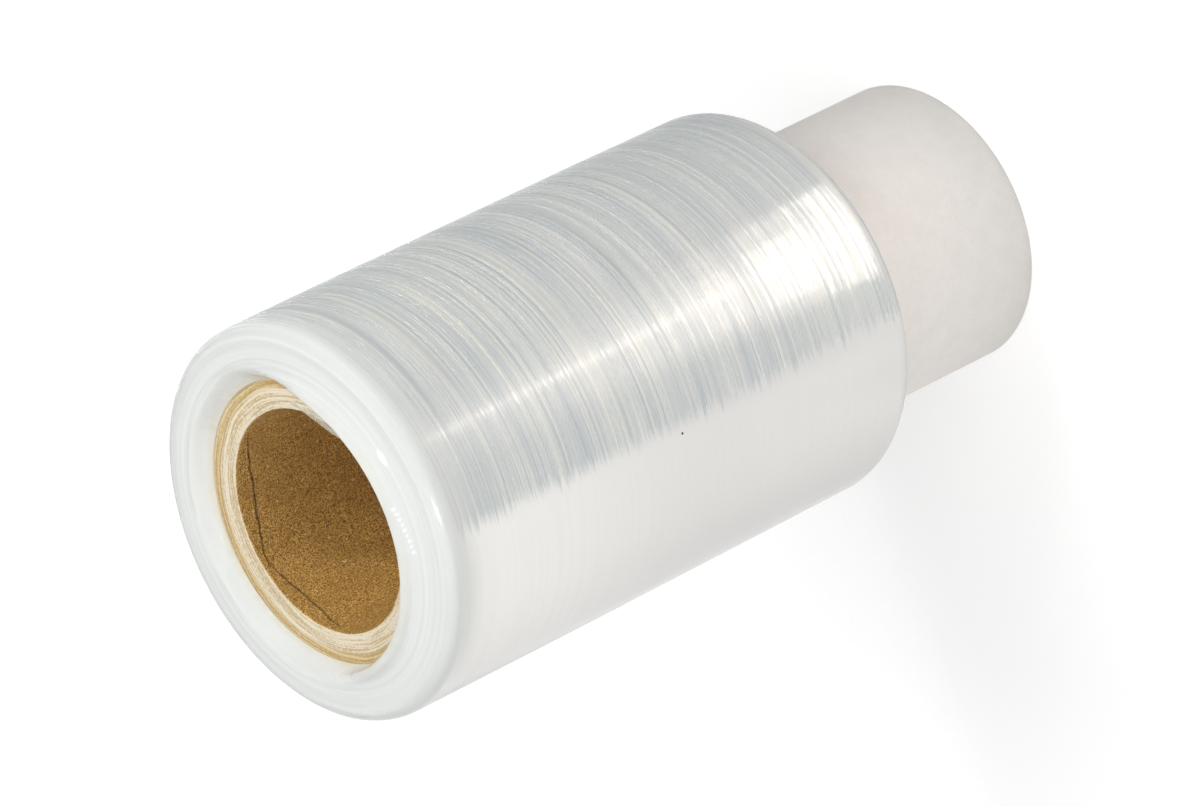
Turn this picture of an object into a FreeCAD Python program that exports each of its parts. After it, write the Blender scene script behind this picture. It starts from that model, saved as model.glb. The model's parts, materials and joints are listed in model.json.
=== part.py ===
# A hand stretch wrap roll: clear plastic film wound on a cardboard tube whose bare end is the hand grip.
# The roll stands on the grip's cut end. Z runs along the tube, with Z = 0 on that cut end.
import FreeCAD
import Part

import math
import os

# Cardboard tube, in millimetres
bore_diameter = 37.2
tube_wall = 5.4
grip_length = 36.8
tube_edge_break = 0.3

# Wound film, with each shoulder given by how far it reaches in from the side and in from the end face
film_width = 102.0
film_build = 9.0
side_crown = 0.16
top_shoulder_reach = 3.0
top_shoulder_drop = 2.2
bottom_shoulder_reach = 3.6
bottom_shoulder_drop = 3.6

# Groups of turns, which show as rings on both end faces and as bands down the side
face_turn_pitch = 0.9
face_turn_relief = 0.28
side_band_pitch = 12.0
side_band_relief = 0.14
side_band_edge = 0.8

# Inner turns at the top, which stand proud of the end face and lean in over the tube's cut end
tube_recess = 2.4
lip_gap = 0.2
lip_height = 2.6
lip_tip_rise = 1.2
lip_overhang = 1.6
lip_crest_inset = 0.7
proud_build = 1.7
proud_step = 0.8
proud_turns = 2

# Straight facets in each rounded quarter of the film's outline
facets_per_quarter = 5

# Radii and levels that follow from the sizes above
bore_radius = bore_diameter / 2
tube_radius = bore_radius + tube_wall
film_radius = tube_radius + film_build
film_bottom = grip_length
film_top = film_bottom + film_width
tube_length = film_top - tube_recess


def section_point(radius, height):
    """A point of a half section, in the XZ plane."""
    return FreeCAD.Vector(radius, 0, height)


def quarter_round(centre, reach, rise):
    """Points on a quarter ellipse, from beside its centre to the point above or below it.

    A negative reach bulges towards the tube's axis, and a negative rise downwards.
    """
    points = []
    for facet in range(facets_per_quarter + 1):
        angle = math.pi / 2 * facet / facets_per_quarter
        points.append(centre + section_point(reach * math.cos(angle), rise * math.sin(angle)))
    return points


def spun(points):
    """The solid that a closed half section sweeps out round the tube's axis."""
    wire = Part.makePolygon(points + points[:1])
    turned = Part.Face(wire).revolve(FreeCAD.Vector(0, 0, 0), FreeCAD.Vector(0, 0, 1), 360)
    solid = Part.Solid(turned.Shells[0])
    if solid.Volume < 0:
        solid.reverse()
    return solid


def turn_rings(inner, outer, level, into_film):
    """Saw-tooth rings across an end face, from its inner radius to its outer one.

    Each group of turns starts a little deeper than the group that it covers, and rises to the face's level.
    """
    count = max(1, round((outer - inner) / face_turn_pitch))
    step = (outer - inner) / count
    points = []
    for turn in range(count):
        start = inner + turn * step
        points.append(section_point(start, level + into_film * face_turn_relief))
        points.append(section_point(start + 0.6 * step, level))
    return points


def side_bands(high, low):
    """Bands down the side, every other one slightly sunk, that follow a slightly barrelled outline."""
    count = max(1, round((high - low) / side_band_pitch))
    pitch = (high - low) / count
    points = []
    for band in range(count):
        along = 2 * (band + 0.5) / count - 1
        sunk = side_band_relief * (band % 2)
        radius = film_radius + side_crown * (1 - along**2) - sunk
        band_high = high - band * pitch
        points.append(section_point(radius, band_high - side_band_edge / 2))
        points.append(section_point(radius, band_high - pitch + side_band_edge / 2))
    return points


def proud_rings(crest, foot_radius):
    """Steps from the crest of the proud inner turns down to where they stop, above the flat end face."""
    step = (foot_radius - crest.x) / proud_turns
    drop = (lip_height - proud_step) / proud_turns
    points = []
    for turn in range(proud_turns):
        near = crest + section_point(turn * step, -turn * drop)
        points.append(near + section_point(0.45 * step, 0))
        points.append(near + section_point(step, -drop))
    return points


def lip():
    """The inner turns past the tube's cut end: over it, round a bulge and down to the end face."""
    overhang = min(lip_overhang, tube_wall / 2)
    under = section_point(tube_radius, tube_length + lip_gap)
    tip = under + section_point(-0.85 * overhang, lip_tip_rise)
    crest = section_point(tube_radius - lip_crest_inset, film_top + lip_height)
    bulge_rise = (crest.z - tip.z) * 2 / 3
    bulge_reach = overhang - lip_crest_inset
    bulge = quarter_round(crest - section_point(0, bulge_rise), -bulge_reach, bulge_rise)
    return [under, tip] + bulge + proud_rings(crest, tube_radius + proud_build)


def cardboard_tube():
    """The wound tube, whose plies are glued into one piece, bored right through and cut square."""
    edge = min(tube_edge_break, tube_wall / 3)
    return spun([
        section_point(bore_radius, 0),
        section_point(tube_radius - edge, 0),
        section_point(tube_radius, edge),
        section_point(tube_radius, tube_length),
        section_point(bore_radius, tube_length),
    ])


def film_roll():
    """All the turns of film as one solid, wound tight on the tube."""
    top_reach = min(top_shoulder_reach, film_build / 2)
    bottom_reach = min(bottom_shoulder_reach, film_build / 2)
    top_centre = section_point(film_radius - top_reach, film_top - top_shoulder_drop)
    bottom_centre = section_point(film_radius - bottom_reach, film_bottom + bottom_shoulder_drop)

    top_face = turn_rings(tube_radius + proud_build, top_centre.x, film_top, -1)
    top_shoulder = quarter_round(top_centre, top_reach, top_shoulder_drop)
    side = side_bands(top_centre.z, bottom_centre.z)
    bottom_shoulder = quarter_round(bottom_centre, bottom_reach, -bottom_shoulder_drop)
    bottom_face = turn_rings(tube_radius, bottom_centre.x, film_bottom, 1)
    return spun(lip() + top_face + top_shoulder[::-1] + side + bottom_shoulder + bottom_face[::-1])


os.makedirs("parts", exist_ok=True)
pieces = {"core_tube": cardboard_tube(), "film_roll": film_roll()}
for name, piece in pieces.items():
    piece.exportStep("parts/" + name + ".step")
    print(name, "valid" if piece.isValid() else "NOT VALID", "volume %.1f cm3" % (piece.Volume / 1000))
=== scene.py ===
# %% [markdown]
# # A hand roll of stretch wrap
#
# The object is two real pieces. Clear polyethylene film is wound tight on a cardboard tube, and the tube's
# bare end is left long as a grip. The roll stands on the grip's cut end, with the film end and the open
# bore at the top. Each piece is a form turned about one axis, so each starts as half of its outline. The
# outline is spun into a mesh, and its surface is then moved a little, as real film and paper are uneven.

import json
import math

import bmesh
import bpy
from mathutils import Matrix, Vector, noise


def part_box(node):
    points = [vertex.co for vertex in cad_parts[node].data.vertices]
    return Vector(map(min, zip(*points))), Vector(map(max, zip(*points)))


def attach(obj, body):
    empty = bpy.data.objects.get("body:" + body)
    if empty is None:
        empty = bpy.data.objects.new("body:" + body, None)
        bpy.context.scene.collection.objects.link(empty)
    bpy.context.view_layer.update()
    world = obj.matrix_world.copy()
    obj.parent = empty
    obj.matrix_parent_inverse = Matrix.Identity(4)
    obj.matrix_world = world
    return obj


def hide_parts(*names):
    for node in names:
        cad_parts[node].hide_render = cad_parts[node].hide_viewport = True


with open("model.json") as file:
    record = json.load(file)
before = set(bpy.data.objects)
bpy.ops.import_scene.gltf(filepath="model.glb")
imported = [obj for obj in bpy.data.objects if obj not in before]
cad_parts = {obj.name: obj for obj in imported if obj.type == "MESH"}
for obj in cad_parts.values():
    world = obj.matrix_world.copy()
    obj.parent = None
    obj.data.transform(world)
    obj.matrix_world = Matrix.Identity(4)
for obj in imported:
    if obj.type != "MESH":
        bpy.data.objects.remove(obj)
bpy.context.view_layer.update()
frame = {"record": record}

# %% [markdown]
# Sizes are read from the fixed model and kept in millimetres, because a maker thinks of this roll in
# millimetres. The outlines are drawn in millimetres too, and each finished mesh is scaled to metres. Two
# lengths can't be read from the boxes of the solids, so they are repeated here: how far the film's lip
# stands above its end face, and how far its side swells.

# %% Read the sizes of the tube and of the film
MM = 0.001
LIP_HEIGHT = 2.6
SIDE_SWELL = 0.16

_, tube_high = (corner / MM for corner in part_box("core_tube"))
film_low, film_high = (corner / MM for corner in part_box("film_roll"))
bore_mount = next(m for m in frame["record"]["mounts"] if m["name"] == "core_bore")

bore_radius = bore_mount["dims"]["r_mm"]
tube_radius = tube_high.x
tube_length = tube_high.z
film_bottom = film_low.z
film_top = film_high.z - LIP_HEIGHT
film_width = film_top - film_bottom
film_radius = film_high.x - SIDE_SWELL
print("film %.1f mm wide and %.1f mm across" % (film_width, 2 * film_radius))
print("tube %.1f mm long and %.1f mm across" % (tube_length, 2 * tube_radius))

# %% [markdown]
# A few small helpers serve both pieces. The first eases a value from 0 to 1, the next gives a wavering number
# along a turn of the roll, and one more gives a point's radius and angle. The wavering number is noise read
# on a circle, so it joins up with itself after a full turn. Four helpers draw half an outline, round its
# corners, divide its edges and spin it. The last one turns the mesh into an object.

# %% Helpers for outlines and meshes
TURN_STEPS = 360
SEED_SHIFT = 17.3


def ease(value, start, end):
    """Goes from 0 at start to 1 at end, with soft ends."""
    share = min(1.0, max(0.0, (value - start) / (end - start)))
    return share * share * (3 - 2 * share)


def turn_noise(along, angle, grain, reach, seed):
    """Noise from -1 to 1, with its grain in mm along the outline and its reach in radians round the turn."""
    point = Vector((along / grain, math.cos(angle) / reach, math.sin(angle) / reach + SEED_SHIFT * seed))
    return noise.noise(point)


def polar(co):
    """Radius and angle of a point, seen along the tube."""
    return math.hypot(co.x, co.y), math.atan2(co.y, co.x)


def half_outline(corners):
    """A closed loop of straight edges in the XZ plane, through (radius, height) corners in mm."""
    bm = bmesh.new()
    loop = [bm.verts.new((radius, 0, height)) for radius, height in corners]
    for start, end in zip(loop, loop[1:] + loop[:1]):
        bm.edges.new((start, end))
    return bm


def round_corner(bm, corner, size, segments):
    """Rounds one corner of an outline."""
    point = Vector((corner[0], 0, corner[1]))
    verts = [min(bm.verts, key=lambda vert: (vert.co - point).length)]
    bmesh.ops.bevel(
        bm, geom=verts, affect="VERTICES", offset=size, segments=segments, profile=0.5, material=-1
    )


def divide_outline(bm, longest):
    """Splits each edge of an outline into pieces no longer than longest(middle of the edge)."""
    for edge in list(bm.edges):
        middle = (edge.verts[0].co + edge.verts[1].co) / 2
        cuts = math.ceil(edge.calc_length() / longest(middle)) - 1
        if cuts > 0:
            bmesh.ops.subdivide_edges(bm, edges=[edge], cuts=cuts)


def spin_outline(bm):
    """Spins the outline through an eighth of a turn, copies that three times over and closes the turn."""
    eighth = math.tau / 8
    bmesh.ops.spin(
        bm, geom=bm.verts[:] + bm.edges[:], cent=(0, 0, 0), axis=(0, 0, 1),
        angle=eighth, steps=TURN_STEPS // 8, use_merge=False, use_duplicate=False,
    )
    for share in (1, 2, 4):
        copy = bmesh.ops.duplicate(bm, geom=bm.verts[:] + bm.edges[:] + bm.faces[:])
        verts = [item for item in copy["geom"] if isinstance(item, bmesh.types.BMVert)]
        bmesh.ops.rotate(bm, verts=verts, cent=(0, 0, 0), matrix=Matrix.Rotation(share * eighth, 3, "Z"))
    bmesh.ops.remove_doubles(bm, verts=bm.verts, dist=0.0001)
    bmesh.ops.recalc_face_normals(bm, faces=bm.faces)


def finish_piece(bm, name, materials):
    """Scales a mesh from mm to metres and makes it a softly shaded object that rides on the roll."""
    bmesh.ops.scale(bm, vec=(MM, MM, MM), verts=bm.verts)
    mesh = bpy.data.meshes.new(name)
    bm.to_mesh(mesh)
    bm.free()
    for polygon in mesh.polygons:
        polygon.use_smooth = True
    for material in materials:
        mesh.materials.append(material)
    piece = bpy.data.objects.new(name, mesh)
    bpy.context.scene.collection.objects.link(piece)
    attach(piece, "root")
    print("%s: %d faces" % (name, len(mesh.polygons)))
    return piece


# %% [markdown]
# Colours are written as sRGB hex values, as a paint or screen shows them. Blender's shaders want linear
# values, so one function turns them. Another adds a node, sets it and links it. The rest are short names for
# the few nodes that every finish is built from.

# %% Helpers for materials
def paint(hex_value):
    """A linear colour from an sRGB hex string."""
    channels = [int(hex_value[i:i + 2], 16) / 255 for i in (1, 3, 5)]
    linear = [c / 12.92 if c <= 0.04045 else ((c + 0.055) / 1.055) ** 2.4 for c in channels]
    return (*linear, 1.0)


def add_node(tree, kind, settings=None, **sockets):
    """Adds a node, sets its properties and its inputs, and links the inputs that are given as sockets."""
    node = tree.nodes.new(kind)
    for key, value in (settings or {}).items():
        setattr(node, key, value)
    for key, value in sockets.items():
        name = key.replace("_", " ")
        target = node.inputs[int(name[2:])] if name.startswith("at") else node.inputs[name]
        if isinstance(value, bpy.types.NodeSocket):
            tree.links.new(value, target)
        else:
            target.default_value = value
    return node


def new_material(name):
    """A material with an empty tree, and its output node."""
    material = bpy.data.materials.new(name)
    material.use_nodes = True
    material.node_tree.nodes.clear()
    return material, material.node_tree, material.node_tree.nodes.new("ShaderNodeOutputMaterial")


def math_node(tree, operation, first, second=0.0, clamp=False):
    """The result socket of one sum on two values or sockets."""
    settings = {"operation": operation, "use_clamp": clamp}
    return add_node(tree, "ShaderNodeMath", settings, at0=first, at1=second).outputs[0]


def blend(tree, first, second, share):
    """The given share of the first value and the rest of the second."""
    rest = math_node(tree, "MULTIPLY", second, 1 - share)
    return math_node(tree, "ADD", math_node(tree, "MULTIPLY", first, share), rest)


def vector_node(tree, operation, *values):
    """The outputs of one sum on vectors: Vector, and Value where the answer is a number."""
    sockets = {"at%d" % index: value for index, value in enumerate(values)}
    return add_node(tree, "ShaderNodeVectorMath", {"operation": operation}, **sockets).outputs


def kept_value(tree, name):
    """The value socket of a number that the mesh keeps at each of its points."""
    return add_node(tree, "ShaderNodeAttribute", {"attribute_name": name}).outputs["Fac"]


def ramp(tree, value, low, high, start=0.0, end=1.0):
    """A value socket mapped from low..high to start..end with soft ends, and held there."""
    node = add_node(
        tree, "ShaderNodeMapRange", {"interpolation_type": "SMOOTHSTEP"},
        Value=value, From_Min=low, From_Max=high, To_Min=start, To_Max=end,
    )
    return node.outputs["Result"]


def mix_colour(tree, share, first, second):
    """A colour socket between two colours or colour sockets."""
    node = tree.nodes.new("ShaderNodeMix")
    node.data_type = "RGBA"
    for index, value in ((0, share), (6, first), (7, second)):
        if isinstance(value, bpy.types.NodeSocket):
            tree.links.new(value, node.inputs[index])
        else:
            node.inputs[index].default_value = value
    return node.outputs[2]


def principled(tree, output, **sockets):
    """Adds the Principled shader and links it to the material's output."""
    shader = add_node(tree, "ShaderNodeBsdfPrincipled", **sockets)
    tree.links.new(shader.outputs[0], output.inputs[0])


# %% [markdown]
# ## The film
#
# The film is one long strip, about 0.02 mm thick, so its hundreds of turns read as one body. What shows is
# where the turns lie unevenly: fine streaks round the side, faint rings on the end faces, and inner turns
# that stand proud at the top and lean over the tube's end. The outline carries the shoulders and the lip.
# Rings and streaks come next, as small moves of the spun mesh along its own normals. The steps along the
# outline are fine wherever the film shows, and there is a single long one where it lies on the tube.

# %% Draw half of the film's outline
CORE_GAP = 0.02
RING_FOOT = 25.8
RING_ROUND = 0.4
LIP_RISE = 0.9
LIP_INSIDE = tube_radius - 0.4
LIP_GAP = 0.08
LIP_OVERLAP = 0.2
CREST_ROUND = 0.35
TOP_SHOULDER = 2.6
BOTTOM_SHOULDER = 3.6
SIDE_STEP = 0.6
FACE_STEP = 0.28

crest = (tube_radius - 0.1, film_top + LIP_RISE)
film_corners = [
    (tube_radius + CORE_GAP, film_bottom),
    (film_radius, film_bottom),
    (film_radius, film_top),
    (RING_FOOT, film_top),
    (tube_radius + 0.9, film_top + 0.8 * LIP_RISE),
    crest,
    (LIP_INSIDE, film_top + 0.4 * LIP_RISE),
    (LIP_INSIDE, tube_length + LIP_GAP),
    (tube_radius + CORE_GAP, tube_length - LIP_OVERLAP),
]
film = half_outline(film_corners)
round_corner(film, film_corners[1], BOTTOM_SHOULDER, 10)
round_corner(film, film_corners[2], TOP_SHOULDER, 10)
round_corner(film, film_corners[3], RING_ROUND, 3)
round_corner(film, crest, CREST_ROUND, 3)


def film_step(point):
    """The longest edge allowed at a point of the film's outline."""
    on_tube = point.x < tube_radius + 0.1 and point.z < tube_length
    on_side = point.x > film_radius - 1 and point.z < film_top - TOP_SHOULDER
    if on_tube:
        return film_width
    return SIDE_STEP if on_side else FACE_STEP


divide_outline(film, film_step)
print("the film's outline has %d points" % len(film.verts))
spin_outline(film)

# %% [markdown]
# Every point of the film gets a place along the outline: 0 at the top edge, growing down the side, and
# negative across the top face. Streaks and rings follow that one number, so they run on round the shoulder
# without a break. Their height also wavers slowly round each turn, because the winder's tension does. On the
# side that the roll has been lying on, its turns are pressed smooth. On the hidden side the last turn ends
# in a cut edge, where the surface drops by a fifth of a millimetre.

# %% Describe the streaks, the pressed side and the last turn's edge
def film_place(co):
    """How far a point lies along the outline from the top edge, in mm."""
    inwards = film_radius - math.hypot(co.x, co.y)
    middle = (film_top + film_bottom) / 2
    return film_top - co.z + (inwards if co.z < middle else -inwards)


# On this side the relief is flattened, and the film's finish paints it paler as a painted reflection.
SMOOTH_REFLECTING_SIDE = math.radians(-152)


def smoothness(angle):
    """1 on the side that the roll has been lying on, where its turns lie flatter, and 0 elsewhere."""
    return ease(math.cos(angle - SMOOTH_REFLECTING_SIDE), 0.62, 0.80)


BAND_HEIGHT = 0.05
STREAK_HEIGHT = 0.02
LINE_HEIGHT = 0.01


def streak_height(place, angle):
    """Relief of the wound surface in mm: broad bands, streaks and fine lines, which drift along the roll."""
    drift = turn_noise(place, angle, 12, 2.2, 1)
    bands = BAND_HEIGHT * turn_noise(place + drift, angle, 7, 2.6, 2)
    streaks = STREAK_HEIGHT * turn_noise(place + drift, angle, 1.6, 2.0, 3)
    lines = LINE_HEIGHT * turn_noise(place - drift, angle, 0.9, 1.4, 4)
    on_face = ease(place, 0, -4)
    return (bands + streaks + lines) * (1 - 0.75 * on_face) * (1 - 0.95 * smoothness(angle))


TAIL_ANGLE = math.radians(60)
TAIL_REACH = math.radians(9)
TAIL_WAVER = math.radians(2.5)
TAIL_STEP = 0.2


def tail_height(place, angle):
    """The last turn's cut end: the surface rises gently up to it and drops by one step there, in mm."""
    edge = TAIL_ANGLE + TAIL_WAVER * turn_noise(place, 0, 18, 1, 15)
    on_side = ease(place, 1, 5) * ease(place, film_width - 1, film_width - 5)
    return TAIL_STEP * ease(angle, edge - TAIL_REACH, edge) * on_side if angle < edge else 0.0


print("the film's relief stays within %.2f mm" % (BAND_HEIGHT + STREAK_HEIGHT + LINE_HEIGHT))

# %% [markdown]
# The lip is made of the innermost turns. Towards the camera they stand proud of the end face and lean in
# over the tube. On the side away from it they have slid down to the tube's cut end, so that its pale ring
# shows. One function says how far along the lip a point lies, and another where that point belongs on the
# sunk side. In between, the surface goes from one form to the other, with a soft fold in the film.

# %% Describe the lip where it has sunk
LIP_LEAN_ANGLE = math.radians(70)
PROUD_REACH = 29.5


def lip_share(radius, height):
    """How far along the lip a point lies: 0 at its foot on the tube, 0.3 at its crest, 1 at its outer end."""
    if radius < tube_radius + 0.05:
        return 0.3 * min(1.0, (height - tube_length) / (film_top + LIP_RISE - tube_length))
    return 0.3 + 0.7 * min(1.0, (radius - tube_radius) / (PROUD_REACH - tube_radius))


def sunk_lip(share, angle):
    """Radius and height of a point of the lip where the lip's turns have slid down to the tube's end."""
    waver = 0.5 * turn_noise(0, angle, 1, 0.35, 5) * math.sin(math.pi * share)
    waver += 0.22 * turn_noise(0, angle, 1, 0.05, 17) * ease(share, 0.4, 0.0)
    radius = LIP_INSIDE + (PROUD_REACH - LIP_INSIDE) * share + waver
    height = tube_length - 0.05 + (film_top - tube_length + 0.05) * ease(share, -0.04, 0.62)
    return radius, height


print("the sunk lip runs from %.1f to %.1f mm from the axis" % (LIP_INSIDE, PROUD_REACH))

# %% [markdown]
# Now every point that shows is moved. Streaks and the last turn's edge go along the normal, and the side
# swells outwards a little. The lip then gets its proud form, its sunk form or a mix of both, and a ragged
# edge. Two marks are kept for the finish: where the tube shows through the sunk film, and the fold, which
# gets a line of painted shade. The lip's ragged points are held under the top of the fixed model.

# %% Move the film's surface
SWELL_SHARE = 0.7
PROUD_RISE = 1.45
PROUD_LEAN = 0.35
RAGGED_MOVE = (0.2, 0.14)
TOP_SLACK = 0.02

over_core = film.verts.layers.float.new("over_core")
painted_fold_shade = film.verts.layers.float.new("painted_fold_shade")
film.normal_update()
moves = []
for vert in film.verts:
    co = vert.co
    radius, angle = polar(co)
    hidden = radius < tube_radius + 0.1 and co.z < tube_length + 0.1
    if hidden:
        continue
    outwards = Vector((co.x / radius, co.y / radius, 0))
    place = film_place(co)
    move = vert.normal * (streak_height(place, angle) + tail_height(place, angle))
    along = (co.z - film_bottom) / film_width * 2 - 1
    on_side = ease(radius, film_radius - 3, film_radius)
    move += outwards * SIDE_SWELL * SWELL_SHARE * max(0.0, 1 - along * along) * on_side
    if co.z > tube_length and radius < PROUD_REACH:
        lean = math.cos(angle - LIP_LEAN_ANGLE)
        towards = ease((1 - lean) / 2, 0.25, 1.0)
        up_wall = ease(co.z, tube_length, film_top)
        at_lip = ease(radius, RING_FOOT + 0.6, tube_radius + 0.3)
        move.z += PROUD_RISE * towards * ease(radius, PROUD_REACH, tube_radius) * up_wall
        move -= outwards * PROUD_LEAN * towards * up_wall * at_lip
        share = lip_share(radius, co.z)
        away = ease(lean, -0.5, 0.4)
        sunk_radius, sunk_height = sunk_lip(share, angle)
        sunk = outwards * (sunk_radius - radius) + Vector((0, 0, sunk_height - co.z))
        move = move.lerp(sunk, away)
        ragged = turn_noise(co.z, angle, 1.5, 0.09, 6) + 0.6 * turn_noise(co.z, angle, 0.8, 0.04, 7)
        ragged *= 1 - 3 * away * (1 - away)
        move += (outwards * RAGGED_MOVE[0] + Vector((0, 0, RAGGED_MOVE[1]))) * ragged * at_lip * up_wall
        vert[over_core] = away * ease(share, 0.24, 0.0)
        broken = ease(turn_noise(0, angle, 1, 0.4, 18), -0.3, 0.2)
        # The fold's mark carries a line of painted shade in the finish.
        vert[painted_fold_shade] = away * ease(abs(share - 0.6), 0.05, 0.0) * broken
    moves.append((vert, move))
for vert, move in moves:
    vert.co += move
ceiling = film_top + LIP_HEIGHT - TOP_SLACK
for vert in film.verts:
    vert.co.z = min(vert.co.z, ceiling)
print("moved %d of the film's %d points" % (len(moves), len(film.verts)))

# %% [markdown]
# The film has torn at one place of the lip. A strip about a centimetre long hangs over the bore there, and
# its end is crumpled. It starts as a flat grid, is bent along the lip and then given a thickness. The
# slitting knife has fused the film in a few spots beside the lip: one blister and a row of beads. They stand
# up a little, and a painted glint makes them whiter than the film round them.

# %% Hang the torn strip from the lip and raise the fused beads
STRIP_START, STRIP_END = math.radians(-36), math.radians(-63)
STRIP_ROOT = (22.6, film_top + 1.3)
STRIP_WIDTH = 2.3
STRIP_FALL = 0.55
STRIP_THICKNESS = 0.07

strip = bmesh.ops.create_grid(film, x_segments=40, y_segments=6, size=0.5)["verts"]
for vert in strip:
    share, across = vert.co.x + 0.5, vert.co.y + 0.5
    angle = STRIP_START + (STRIP_END - STRIP_START) * share
    crumple = 0.15 + 0.45 * ease(share, 0.72, 0.9)
    width = STRIP_WIDTH * math.sin(math.pi * min(1.0, 0.08 + share * 0.86)) ** 0.7
    wave = turn_noise(10 * share, angle, 1.1, 0.2, 21) * crumple
    radius = STRIP_ROOT[0] - across * width + 0.6 * wave * across
    height = STRIP_ROOT[1] - STRIP_FALL * across * width + wave * across
    vert.co = (radius * math.cos(angle), radius * math.sin(angle), height)
strip_faces = list({face for vert in strip for face in vert.link_faces})
bmesh.ops.recalc_face_normals(film, faces=strip_faces)
walls = bmesh.ops.solidify(film, geom=strip_faces, thickness=STRIP_THICKNESS)["geom"]
for face in strip_faces + [item for item in walls if isinstance(item, bmesh.types.BMFace)]:
    face.material_index = 1

# This mark carries a painted glint on the fused spots.
fused_spot_glint = film.verts.layers.float.new("fused_spot_glint")


def raise_spot(angle_deg, radius, length, width, height):
    """Raises an oval spot of the end face, long round the turn, and marks it for a painted glint."""
    for vert in film.verts:
        if vert.co.z < film_top - 0.5:
            continue
        point_radius, angle = polar(vert.co)
        across = (point_radius - radius) / (width / 2)
        along = (angle - math.radians(angle_deg)) * radius / (length / 2)
        share = ease(math.hypot(across, along), 1.3, 0.5)
        if share > 0:
            vert.co.z += height * share
            vert[fused_spot_glint] = max(vert[fused_spot_glint], share)


BEAD_COUNT = 9
BEAD_ANGLE, BEAD_SPACING = -98, -2.0
BEAD_RADIUS, BEAD_DRIFT = 25.3, 0.12
BEAD_SIZE, BEAD_HEIGHT = 0.5, 0.2
raise_spot(angle_deg=-81, radius=27.2, length=2.8, width=0.9, height=0.25)
for i in range(BEAD_COUNT):
    bead_angle = BEAD_ANGLE + BEAD_SPACING * i
    raise_spot(bead_angle, BEAD_RADIUS + BEAD_DRIFT * i, BEAD_SIZE, BEAD_SIZE, BEAD_HEIGHT)
print("one torn strip of %d faces, one blister and %d beads" % (len(strip_faces), BEAD_COUNT))

# %% [markdown]
# The finish of the film reads three numbers at each point: its place along the outline and the direction of
# its turn as two parts. They are kept as an attribute, so a pattern can stretch a long way round the turn
# and stay very fine across it.

# %% Keep each point's place and direction for the film's finish
turns = film.verts.layers.float_vector.new("turns")
for vert in film.verts:
    _, angle = polar(vert.co)
    vert[turns] = (film_place(vert.co), math.cos(angle), math.sin(angle))
print("points keep", film.verts.layers.float.keys() + film.verts.layers.float_vector.keys())

# %% [markdown]
# Stretch film is cast linear low-density polyethylene. One layer is clear, but hundreds of layers with air
# between them reflect like a pile of glass plates, so the roll looks silvery and milky at once. The layers'
# fine ridges all run round the roll, and they smear a lamp's reflection along the axis. Principled's
# anisotropy does that, with the tangent taken round the axis. Streaks of grey, silver and cream come from
# noise that is a fraction of a millimetre fine along the roll and centimetres long round it. The side that
# the roll has been lying on is more even and smoother than the rest, and it is painted paler there as a
# painted reflection of the pale ground.

# %% Finish: cast polyethylene stretch film, wound tight
def object_place(tree):
    """The object's own coordinates, in millimetres."""
    source = add_node(tree, "ShaderNodeTexCoord").outputs["Object"]
    return add_node(tree, "ShaderNodeVectorMath", {"operation": "SCALE"}, at0=source, Scale=1 / MM).outputs[0]


def speckle(tree, place, size, detail, roughness=0.6):
    """Noise with features about size mm across."""
    sockets = {"Vector": place, "Scale": 1 / size, "Detail": detail, "Roughness": roughness}
    return add_node(tree, "ShaderNodeTexNoise", **sockets).outputs["Fac"]


FINISH_SHIFT = 13.7


def film_noise(tree, place, grain, reach, seed, detail):
    """Noise on the film: grain is its size in mm along the roll, reach its size in radians round the turn."""
    stretch = (1 / grain, 1 / reach, 1 / reach)
    stretched = vector_node(tree, "MULTIPLY_ADD", place, stretch, (0, 0, FINISH_SHIFT * seed))["Vector"]
    return speckle(tree, stretched, 1.0, detail, 0.55)


PLASTIC_IOR = 1.5
SPECK_ANGLE = math.radians(-112.7)
SPECK_HEIGHT = 88.5
SPECK_RADIUS = 0.3
DIRT_SPECK = (film_radius * math.cos(SPECK_ANGLE), film_radius * math.sin(SPECK_ANGLE), SPECK_HEIGHT)


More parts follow.
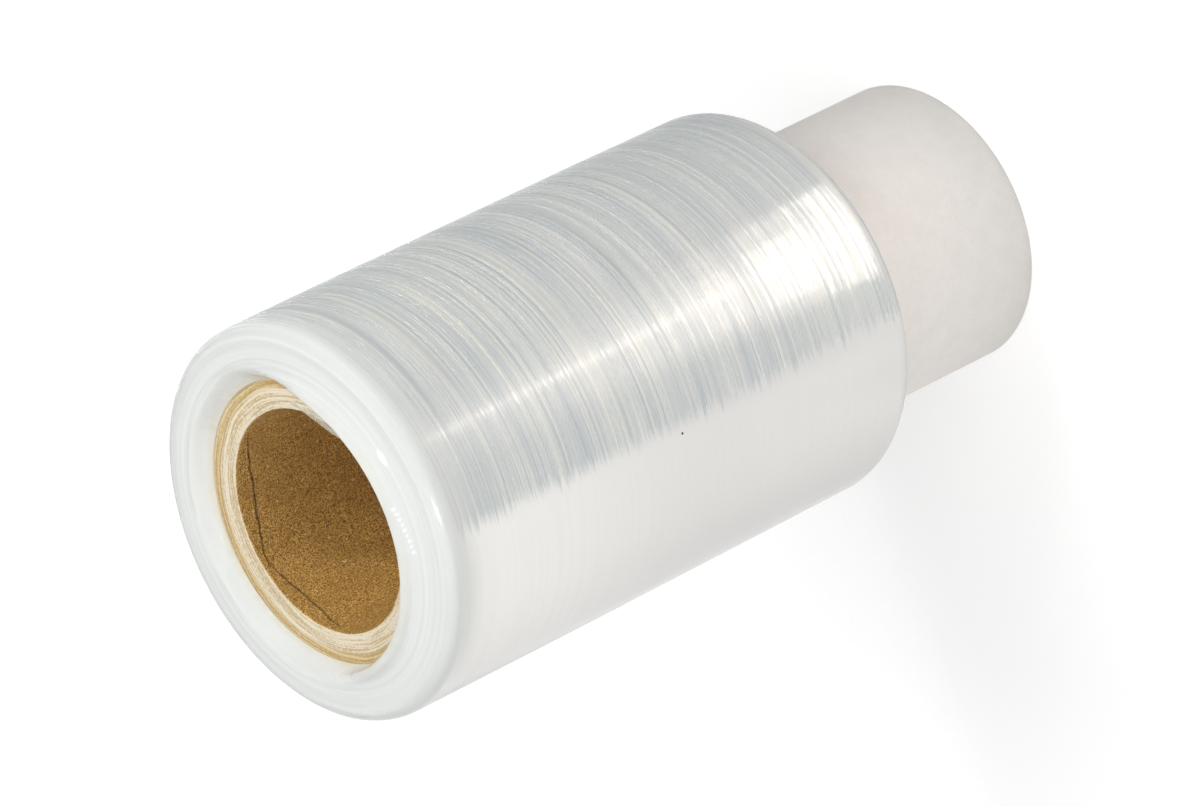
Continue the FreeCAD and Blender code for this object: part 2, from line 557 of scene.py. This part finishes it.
def stretch_film():
    """Milky and silvery, streaked round the roll, and tan where the tube shows through the sunk lip."""
    material, tree, output = new_material("cast_stretch_film")
    place = add_node(tree, "ShaderNodeAttribute", {"attribute_name": "turns"}).outputs["Vector"]
    parts = add_node(tree, "ShaderNodeSeparateXYZ", Vector=place)
    along = parts.outputs["X"]

    bands = film_noise(tree, place, 7.0, 1.2, 1, 2.0)
    streaks = film_noise(tree, place, 0.8, 2.4, 2, 4.0)
    fine = film_noise(tree, place, 0.4, 2.4, 3, 2.0)
    pale_lines = film_noise(tree, place, 0.42, 2.8, 9, 2.0)
    on_side = ramp(tree, along, 0.5, 7.0)

    # The side: cool grey bands and cream streaks, then dark lines and pale lines.
    cool = mix_colour(tree, ramp(tree, bands, 0.3, 0.7), paint("#CFD2CF"), paint("#BEC4C6"))
    streaky = mix_colour(tree, ramp(tree, streaks, 0.38, 0.72, 0.0, 0.6), cool, paint("#DAD9D1"))
    lined = mix_colour(tree, ramp(tree, fine, 0.52, 0.64, 0.0, 0.6), streaky, paint("#A4AFB6"))
    lined = mix_colour(tree, ramp(tree, pale_lines, 0.54, 0.66, 0.0, 0.7), lined, paint("#F0ECDC"))
    lined = mix_colour(tree, ramp(tree, along, 5, 100, 0.0, 0.3), lined, paint("#B4B9BA"))
    # The side the roll lay on, painted paler as a painted reflection, with a slightly jagged border.
    smooth_way = (0, math.cos(SMOOTH_REFLECTING_SIDE), math.sin(SMOOTH_REFLECTING_SIDE))
    smooth_and_reflecting = vector_node(tree, "DOT_PRODUCT", place, smooth_way)["Value"]
    jagged = math_node(tree, "MULTIPLY", math_node(tree, "SUBTRACT", streaks, 0.5), 0.16)
    smooth_and_reflecting = ramp(tree, math_node(tree, "ADD", smooth_and_reflecting, jagged), 0.70, 0.77)
    pale_reflection = mix_colour(tree, ramp(tree, along, 10, 60), paint("#EBEBE8"), paint("#D9D9D7"))
    pale_reflection = mix_colour(tree, ramp(tree, streaks, 0.3, 0.7, 0.0, 0.14), pale_reflection, paint("#CFD2D0"))
    lined = mix_colour(tree, smooth_and_reflecting, lined, pale_reflection)
    # The end face, the tube under the sunk lip, painted shade on the fold, a tan edge,
    # painted glints on the fused spots, and the speck.
    milky = mix_colour(tree, ramp(tree, streaks, 0.3, 0.7), paint("#DEE1DE"), paint("#E7E9E6"))
    body = mix_colour(tree, on_side, milky, lined)
    thin_places = ramp(tree, fine, 0.35, 0.65, 0.3, 0.75)
    tanned = math_node(tree, "MULTIPLY", kept_value(tree, "over_core"), thin_places)
    colour = mix_colour(tree, tanned, body, paint("#DACCA8"))
    # Painted shade darkens the fold.
    fold_shade = math_node(tree, "MULTIPLY", kept_value(tree, "painted_fold_shade"), 0.5)
    colour = mix_colour(tree, fold_shade, colour, paint("#C3C8C6"))
    colour = mix_colour(tree, ramp(tree, along, -8.6, -10.6, 0.0, 0.1), colour, paint("#E2CDA8"))
    # A painted glint whitens the fused spots.
    colour = mix_colour(tree, kept_value(tree, "fused_spot_glint"), colour, paint("#FFFFFF"))
    from_speck = vector_node(tree, "DISTANCE", object_place(tree), DIRT_SPECK)["Value"]
    speck = ramp(tree, from_speck, SPECK_RADIUS, SPECK_RADIUS - 0.1)
    colour = mix_colour(tree, speck, colour, paint("#3C3A38"))

    # Gloss and fine bumps, both more even on the pressed side.
    uneven = film_noise(tree, place, 0.7, 1.8, 5, 3.0)
    evened = math_node(tree, "SUBTRACT", 1.0, smooth_and_reflecting)
    uneven = math_node(tree, "MULTIPLY", math_node(tree, "SUBTRACT", uneven, 0.5), evened)
    roughness = ramp(tree, uneven, -0.2, 0.2, 0.2, 0.45)
    metallic = math_node(tree, "MULTIPLY", ramp(tree, along, 2.0, 8.0), 0.5)
    strength = math_node(tree, "SUBTRACT", 0.24, math_node(tree, "MULTIPLY", smooth_and_reflecting, 0.23))
    height = blend(tree, streaks, fine, 0.6)
    bump = add_node(tree, "ShaderNodeBump", Strength=strength, Distance=0.04 * MM, Height=height)
    tangent = add_node(tree, "ShaderNodeTangent", {"direction_type": "RADIAL", "axis": "Z"})
    principled(
        tree, output, Base_Color=colour, Roughness=roughness, Metallic=metallic, IOR=PLASTIC_IOR,
        Specular_IOR_Level=0.25, Specular_Tint=paint("#B0B6BA"), Anisotropic=0.8, Anisotropic_Rotation=0.25,
        Normal=bump.outputs[0], Tangent=tangent.outputs[0],
        Coat_Weight=0.4, Coat_Roughness=0.07, Coat_IOR=PLASTIC_IOR,
    )
    return material


# %% Finish: one loose layer of the same film
def single_layer():
    """A half see-through, slightly crumpled layer with nothing behind it but the bore."""
    material, tree, output = new_material("single_layer_of_film")
    place = object_place(tree)
    creases = speckle(tree, place, 0.8, 3.0)
    bump = add_node(tree, "ShaderNodeBump", Strength=0.8, Distance=0.2 * MM, Height=creases)
    roughness = ramp(tree, creases, 0.3, 0.7, 0.1, 0.3)
    opacity = ramp(tree, creases, 0.3, 0.7, 0.4, 0.65)
    principled(
        tree, output, Base_Color=paint("#F2EAD8"), Roughness=roughness, IOR=PLASTIC_IOR,
        Alpha=opacity, Normal=bump.outputs[0],
    )
    return material


film_piece = finish_piece(film, "film_turns", [stretch_film(), single_layer()])
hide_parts("film_roll")

# %% [markdown]
# ## The cardboard tube
#
# The tube is wound from strips of paper glued one on another. The bore is brown kraft, the wall between is
# pale recycled board, and the outside is a smooth warm-grey paper. It is cut with a knife, so the cut end
# shows the plies as rings and its edges are slightly fuzzy. Its outline has four corners, and the steps along
# it are fine only where something shows: at the cut end and just inside the bore's mouth. The bore's long
# edge gets one more corner for that, at the depth where the fine steps begin.

# %% Draw half of the tube's outline and spin it
EDGE_BREAK = 0.25
MOUTH_DEPTH = 6.0
MOUTH_STEP = 0.22
CUT_STEP = 0.25
GRIP_STEP = 1.2
BORE_STEP = 2.5

tube_corners = [
    (bore_radius, 0),
    (tube_radius, 0),
    (tube_radius, tube_length),
    (bore_radius, tube_length),
]
tube = half_outline(tube_corners)
for corner in tube_corners:
    round_corner(tube, corner, EDGE_BREAK, 2)


def tube_step(point):
    """The longest edge allowed at a point of the tube's outline."""
    if point.x > tube_radius - 0.5:
        return GRIP_STEP
    if point.x > bore_radius + 0.5:
        return CUT_STEP
    return MOUTH_STEP if point.z > tube_length - MOUTH_DEPTH else BORE_STEP


long_edges = [edge for edge in tube.edges if edge.calc_length() > tube_length / 2]
bore_edges = [edge for edge in long_edges if edge.verts[0].co.x < bore_radius + 1]
halving = bmesh.ops.subdivide_edges(tube, edges=bore_edges, cuts=1)
for item in halving["geom_inner"]:
    if isinstance(item, bmesh.types.BMVert):
        item.co.z = tube_length - MOUTH_DEPTH
divide_outline(tube, tube_step)
print("the tube's outline has %d points" % len(tube.verts))
spin_outline(tube)

# %% [markdown]
# Just inside the mouth the innermost ply has come loose from the next one, and its edge shows as a thin dark
# line in two sagging curves. One ring of the mesh is slid along the bore until it follows those curves, and
# then pressed into the wall. The rings beside it follow, so the line stays thin and crisp. Its darkness is
# painted shade in the finish, where the gap under the loose edge would be shaded. Each curve is given by the
# angles of its two ends, and by its depth below the mouth at its ends and at its lowest point.

# %% Press the loose ply's edge into the bore
ON_BORE = bore_radius + 0.01
SAME_LEVEL = 0.01
NEXT_LEVEL = 0.3
PLY_EDGE_DEPTH = 2.4
PLY_EDGE_REACH = 2.2
PLY_PRESS = 0.18
PLY_LIFT = 0.08
ply_edge_sags = [(22, 99, 0.8, 3.4), (99, 152, 1.4, 3.1)]


def ply_edge(angle_deg):
    """Depth of the loose ply's edge below the mouth in mm, and how strongly it shows, at an angle."""
    for start, end, ends_at, lowest in ply_edge_sags:
        if start <= angle_deg < end:
            share = (angle_deg - start) / (end - start)
            return ends_at + (lowest - ends_at) * math.sin(math.pi * share), 1.0
    return PLY_EDGE_DEPTH, 0.0


# This mark carries painted shade for the loose ply's edge in the finish.
loose_edge_shade = tube.verts.layers.float.new("loose_edge_shade")
bore_verts = [vert for vert in tube.verts if polar(vert.co)[0] <= ON_BORE]
mouth_levels = sorted({round(vert.co.z, 3) for vert in bore_verts})
edge_level = min(mouth_levels, key=lambda z: abs(z - (tube_length - PLY_EDGE_DEPTH)))
for vert in bore_verts:
    radius, angle = polar(vert.co)
    if vert.co.z < tube_length - MOUTH_DEPTH - 1:
        continue
    depth, strength = ply_edge(math.degrees(angle))
    waver = 0.3 * turn_noise(0, angle, 1, 0.12, 11) + 0.12 * turn_noise(0, angle, 1, 0.04, 13)
    offset = vert.co.z - edge_level
    slide = (tube_length - edge_level - depth + waver) * ease(abs(offset), PLY_EDGE_REACH, 0.0)
    if offset > 0:
        slide *= ease(vert.co.z, tube_length - EDGE_BREAK, edge_level)
    if abs(offset) < SAME_LEVEL:
        vert[loose_edge_shade] = strength
        vert.co.x *= 1 + PLY_PRESS * strength / radius
        vert.co.y *= 1 + PLY_PRESS * strength / radius
    elif abs(offset) < NEXT_LEVEL:
        vert[loose_edge_shade] = 0.5 * strength
    if SAME_LEVEL < offset < NEXT_LEVEL:
        vert.co.x *= 1 - PLY_LIFT * strength / radius
        vert.co.y *= 1 - PLY_LIFT * strength / radius
    vert.co.z += slide * strength
print("the loose ply's edge hangs in %d curves, %.1f mm into the wall" % (len(ply_edge_sags), PLY_PRESS))

# %% [markdown]
# The knife leaves the plies of the cut ends at slightly different heights, and paper is never quite flat.
# Small moves give the cut ends their rings and ragged rims, and the bore and the grip a soft unevenness. The
# lower end only moves upwards, so that the roll stands on its foot and not in the floor.

# %% Roughen the cut ends and the paper faces
PLY_RELIEF = 0.05
FUZZ_RELIEF = 0.02
FACE_RELIEF = 0.04

tube.normal_update()
moves = []
for vert in tube.verts:
    radius, angle = polar(vert.co)
    on_cut = ease(abs(vert.normal.z), 0.3, 0.8)
    ply = turn_noise(radius, angle, 0.35, 1.2, 8) + 0.5 * turn_noise(radius, angle, 0.9, 0.6, 9)
    fuzz = turn_noise(radius, angle, 0.5, 0.03, 10)
    soft = turn_noise(vert.co.z, angle, 9, 0.3, 12)
    relief = on_cut * (PLY_RELIEF * ply + FUZZ_RELIEF * fuzz) + (1 - on_cut) * FACE_RELIEF * soft
    move = vert.normal * relief
    if vert.co.z < 1:
        move.z = max(0.0, move.z)
    moves.append((vert, move))
for vert, move in moves:
    vert.co += move
print("moved %d points of the tube" % len(moves))

# %% [markdown]
# Paper has no gloss worth the name, so all three finishes of the tube are rough and differ in colour and
# grain. Kraft in the bore is flecked with darker and lighter fibres a few tenths of a millimetre wide. The
# cut shows layers. The grip's face is smooth and only faintly cloudy.

# %% Finishes: kraft liner, cut board and smooth facing paper
PAPER_IOR = 1.5
PIT_SHIFT = (31.0, 7.0, 3.0)
PLY_THICKNESS = 0.28
OUTER_PLY_START, OUTER_PLY_FULL = 22.3, 23.0


def radius_of(tree, place):
    """Distance from the tube's axis in mm."""
    flat = vector_node(tree, "MULTIPLY", place, (1, 1, 0))["Vector"]
    return vector_node(tree, "LENGTH", flat)["Value"]


def kraft_liner():
    """Brown kraft paper with short fibres, which lines the bore."""
    material, tree, output = new_material("kraft_liner_paper")
    place = object_place(tree)
    fibres = speckle(tree, place, 0.24, 3.0, 0.7)
    clouds = speckle(tree, place, 5.0, 3.0)
    flecks = speckle(tree, place, 0.6, 0.0)
    pits = speckle(tree, vector_node(tree, "ADD", place, PIT_SHIFT)["Vector"], 0.6, 0.0)
    base = mix_colour(tree, ramp(tree, fibres, 0.37, 0.63), paint("#865719"), paint("#FBD07A"))
    cloudy = mix_colour(tree, ramp(tree, clouds, 0.35, 0.65, 0.0, 0.3), base, paint("#B08242"))
    pitted = mix_colour(tree, ramp(tree, pits, 0.26, 0.2, 0.0, 0.6), cloudy, paint("#5E3A12"))
    flecked = mix_colour(tree, ramp(tree, flecks, 0.75, 0.80, 0.0, 0.8), pitted, paint("#F2DBA8"))
    # Painted shade darkens the loose ply's edge, where its gap would be shaded.
    edge_shade = ramp(tree, kept_value(tree, "loose_edge_shade"), 0.2, 0.9, 0.0, 0.75)
    colour = mix_colour(tree, edge_shade, flecked, paint("#573A18"))
    bump = add_node(tree, "ShaderNodeBump", Strength=0.8, Distance=0.18 * MM, Height=fibres)
    principled(tree, output, Base_Color=colour, Roughness=0.85, IOR=PAPER_IOR, Normal=bump.outputs[0])
    return material


def cut_board():
    """The knife-cut wall: pale plies with darker glue lines, and a tan outer ply."""
    material, tree, output = new_material("cut_recycled_board")
    place = object_place(tree)
    radius = radius_of(tree, place)
    wander = math_node(tree, "MULTIPLY", speckle(tree, place, 5.0, 2.0), 0.7)
    layer = math_node(tree, "ADD", radius, wander)
    counted = math_node(tree, "MULTIPLY", layer, 1 / PLY_THICKNESS)
    spread = add_node(tree, "ShaderNodeCombineXYZ", X=counted).outputs[0]
    fuzzed = vector_node(tree, "MULTIPLY_ADD", place, (0.1, 0.1, 0.1), spread)["Vector"]
    plies = speckle(tree, fuzzed, 1.0, 2.0, 0.5)
    fibres = speckle(tree, place, 0.5, 4.0, 0.75)
    lines = blend(tree, plies, fibres, 0.6)
    pale = mix_colour(tree, ramp(tree, lines, 0.40, 0.56), paint("#C0A778"), paint("#E4DAC4"))
    outer_ply = mix_colour(tree, ramp(tree, lines, 0.42, 0.60), paint("#B6955C"), paint("#DAC596"))
    ragged = math_node(tree, "ADD", radius, math_node(tree, "MULTIPLY", fibres, 1.2))
    in_outer_ply = ramp(tree, ragged, OUTER_PLY_START, OUTER_PLY_FULL, 0.0, 0.9)
    colour = mix_colour(tree, in_outer_ply, pale, outer_ply)
    bump = add_node(tree, "ShaderNodeBump", Strength=0.6, Distance=0.15 * MM, Height=lines)
    principled(tree, output, Base_Color=colour, Roughness=0.9, IOR=PAPER_IOR, Normal=bump.outputs[0])
    return material


SEAM_START = math.radians(40)
SEAM_SLOPE = 1.14


def facing_paper():
    """Smooth warm-grey paper on the grip, with the seam of its wound strip climbing round it."""
    material, tree, output = new_material("smooth_facing_paper")
    place = object_place(tree)
    clouds = speckle(tree, place, 3.5, 4.0, 0.65)
    grain = speckle(tree, place, 0.35, 2.0)
    parts = add_node(tree, "ShaderNodeSeparateXYZ", Vector=place).outputs
    turned = math_node(tree, "MULTIPLY", math_node(tree, "ARCTAN2", parts["Y"], parts["X"]), tube_radius)
    climbed = math_node(tree, "MULTIPLY", parts["Z"], SEAM_SLOPE)
    from_start = math_node(tree, "SUBTRACT", turned, climbed)
    from_seam = math_node(tree, "SUBTRACT", from_start, SEAM_START * tube_radius)
    seam = ramp(tree, math_node(tree, "ABSOLUTE", from_seam), 0.4, 0.1)
    base = mix_colour(tree, ramp(tree, clouds, 0.3, 0.7), paint("#ECE9E4"), paint("#F0EDE9"))
    colour = mix_colour(tree, ramp(tree, grain, 0.45, 0.75, 0.0, 0.3), base, paint("#E0DAD3"))
    colour = mix_colour(tree, math_node(tree, "MULTIPLY", seam, 0.6), colour, paint("#B9B0A4"))
    height = math_node(tree, "SUBTRACT", math_node(tree, "MULTIPLY", grain, 0.25), seam)
    bump = add_node(tree, "ShaderNodeBump", Strength=0.6, Distance=0.1 * MM, Height=height)
    principled(tree, output, Base_Color=colour, Roughness=0.7, IOR=PAPER_IOR, Normal=bump.outputs[0])
    return material


LINER, CUT, FACING = range(3)
for face in tube.faces:
    middle = face.calc_center_median()
    radius, _ = polar(middle)
    if middle.z < EDGE_BREAK / 2 or middle.z > tube_length - EDGE_BREAK / 2:
        face.material_index = CUT
    else:
        face.material_index = LINER if radius < (bore_radius + tube_radius) / 2 else FACING

tube_piece = finish_piece(tube, "wound_tube", [kraft_liner(), cut_board(), facing_paper()])
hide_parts("core_tube")

# %% [markdown]
# ## Floor, light and camera
#
# The roll stands on a plain pale floor. The photograph looks down at it at about 37 degrees and tilts the
# whole view, so that the roll seems to lie across the picture. The camera is placed on that sight line and
# rolled by the same angle. The floor glows a little for the camera and in reflections, so that it looks as
# white as the photograph's ground. The light from all round is dim on one side and bright on the other.

# %% Floor and surrounding light
FLOOR_HALF = 4.0
FLOOR_GLOW = 0.41
BRIGHT_WALL = Vector((-0.94, -0.34, 0))
DIM_LIGHT, BRIGHT_LIGHT = 0.13, 0.84
WHITE = (1, 1, 1, 1)

bm = bmesh.new()
bmesh.ops.create_grid(bm, x_segments=1, y_segments=1, size=FLOOR_HALF)
floor_mesh = bpy.data.meshes.new("floor")
bm.to_mesh(floor_mesh)
bm.free()
floor = bpy.data.objects.new("floor", floor_mesh)
bpy.context.scene.collection.objects.link(floor)

floor_material, tree, output = new_material("pale_floor")
path = add_node(tree, "ShaderNodeLightPath").outputs
seen = math_node(tree, "ADD", path["Is Camera Ray"], path["Is Glossy Ray"])
seen = math_node(tree, "ADD", seen, path["Is Transmission Ray"], clamp=True)
glow = math_node(tree, "MULTIPLY", seen, FLOOR_GLOW)
principled(
    tree, output, Base_Color=paint("#E6E6E6"), Roughness=0.95, Emission_Color=WHITE, Emission_Strength=glow
)
floor_mesh.materials.append(floor_material)

world = bpy.data.worlds.new("studio")
world.use_nodes = True
tree = world.node_tree
direction = add_node(tree, "ShaderNodeTexCoord").outputs["Generated"]
facing = vector_node(tree, "DOT_PRODUCT", direction, BRIGHT_WALL)["Value"]
background = tree.nodes["Background"].inputs
background["Color"].default_value = WHITE
tree.links.new(ramp(tree, facing, -1, 1, DIM_LIGHT, BRIGHT_LIGHT), background["Strength"])
bpy.context.scene.world = world
print("the floor is %.0f m across" % (2 * FLOOR_HALF))

# %% [markdown]
# Three soft lamps shine from above, and one of them is small and reaches into the bore. They are kept out of
# reflections, where their mirror images would be too hard. The glint lamp is the reverse and shows only in
# reflections. The bright stripes along the film's side are mirror images of strip lamps that lie on the
# floor. Two large and dim ones are cards for the pressed side, and back_sheen is for the hidden side.

# %% Lamps
def area_lamp(name, width, height, power):
    """A rectangular lamp that the camera doesn't see."""
    data = bpy.data.lights.new(name, "AREA")
    data.shape = "RECTANGLE"
    data.size, data.size_y, data.energy = width, height, power
    holder = bpy.data.objects.new(name, data)
    holder.visible_camera = False
    bpy.context.scene.collection.objects.link(holder)
    return holder


def lamp(name, azimuth, elevation, distance, width, height, power, aim=(0, 0, 0.09)):
    """A lamp at two angles in degrees and a distance in metres from its aim, and turned to it."""
    holder = area_lamp(name, width, height, power)
    turn, rise = math.radians(azimuth), math.radians(elevation)
    towards = Vector((math.cos(turn) * math.cos(rise), math.sin(turn) * math.cos(rise), math.sin(rise)))
    holder.location = Vector(aim) + towards * distance
    holder.rotation_mode = "QUATERNION"
    holder.rotation_quaternion = (-towards).to_track_quat("-Z", "Y")
    return holder


key_lamp = lamp("key_lamp", -26, 58, 1.2, 0.6, 0.6, 5.8)
front_lamp = lamp("front_lamp", -88, 60, 1.2, 0.7, 0.7, 2.2)
bore_lamp = lamp("bore_lamp", -12, 36, 0.6, 0.12, 0.12, 0.010, aim=(0, 0, 0.137))
bore_lamp.data.spread = math.radians(12)
for soft_lamp in (key_lamp, front_lamp, bore_lamp):
    soft_lamp.visible_glossy = False
glint_lamp = lamp("glint_lamp", -117, 50, 1.2, 0.14, 0.36, 4.0)
glint_lamp.visible_diffuse = False

WARM_TINT = (1.0, 0.84, 0.76)
STRIP_LIFT = 1 * MM


def floor_lamp(name, start, end, width, radiance):
    """A strip lamp that lies on the floor and faces up, from start to end in mm, at a given brightness."""
    start, end = Vector((*start, 0)) * MM, Vector((*end, 0)) * MM
    length, depth = (end - start).length, width * MM
    holder = area_lamp(name, length, depth, math.pi * length * depth * radiance)
    holder.data.color = WARM_TINT
    holder.location = (start + end) / 2 + Vector((0, 0, STRIP_LIFT))
    holder.rotation_euler = (math.pi, 0, math.atan2(end.y - start.y, end.x - start.x))


floor_lamp("rim_glare", (-17, -85), (50, -69), 11, 7.0)
floor_lamp("far_glare", (-9, -102), (41, -93), 13, 5.6)
floor_lamp("mid_glare", (-4, -127), (36, -120), 18, 1.5)
floor_lamp("line_glare", (22, -108), (50, -235), 8, 3.6)
floor_lamp("line_glow", (22, -108), (50, -235), 40, 0.1)
floor_lamp("back_sheen", (-80, 218), (-137, 376), 30, 1.5)
floor_lamp("pale_card_front", (-158, 9), (-255, -136), 250, 0.3)
floor_lamp("pale_card_back", (-168, 16), (-85, 141), 225, 0.3)
print("%d lamps" % len(bpy.data.lights))

# %% Camera
SENSOR_WIDTH = 36.0
FOCAL_LENGTH = 240.8
CAMERA_RISE = math.radians(37.43)
CAMERA_ROLL = math.radians(-116.29)
CAMERA_DISTANCE = 1.2743
CAMERA_AIM = Vector((-0.0029, 0.0, 0.0769))

camera_data = bpy.data.cameras.new("camera")
camera_data.sensor_width = SENSOR_WIDTH
camera_data.lens = FOCAL_LENGTH
camera_data.clip_end = 20.0
camera = bpy.data.objects.new("camera", camera_data)
bpy.context.scene.collection.objects.link(camera)
sight = Vector((0, math.cos(CAMERA_RISE), -math.sin(CAMERA_RISE)))
camera.location = CAMERA_AIM - sight * CAMERA_DISTANCE
camera.rotation_mode = "QUATERNION"
level = sight.to_track_quat("-Z", "Y")
camera.rotation_quaternion = level @ Matrix.Rotation(CAMERA_ROLL, 3, "Z").to_quaternion()
bpy.context.scene.camera = camera
bpy.context.scene.view_settings.view_transform = "Standard"
print("the camera is %.2f m away" % CAMERA_DISTANCE)
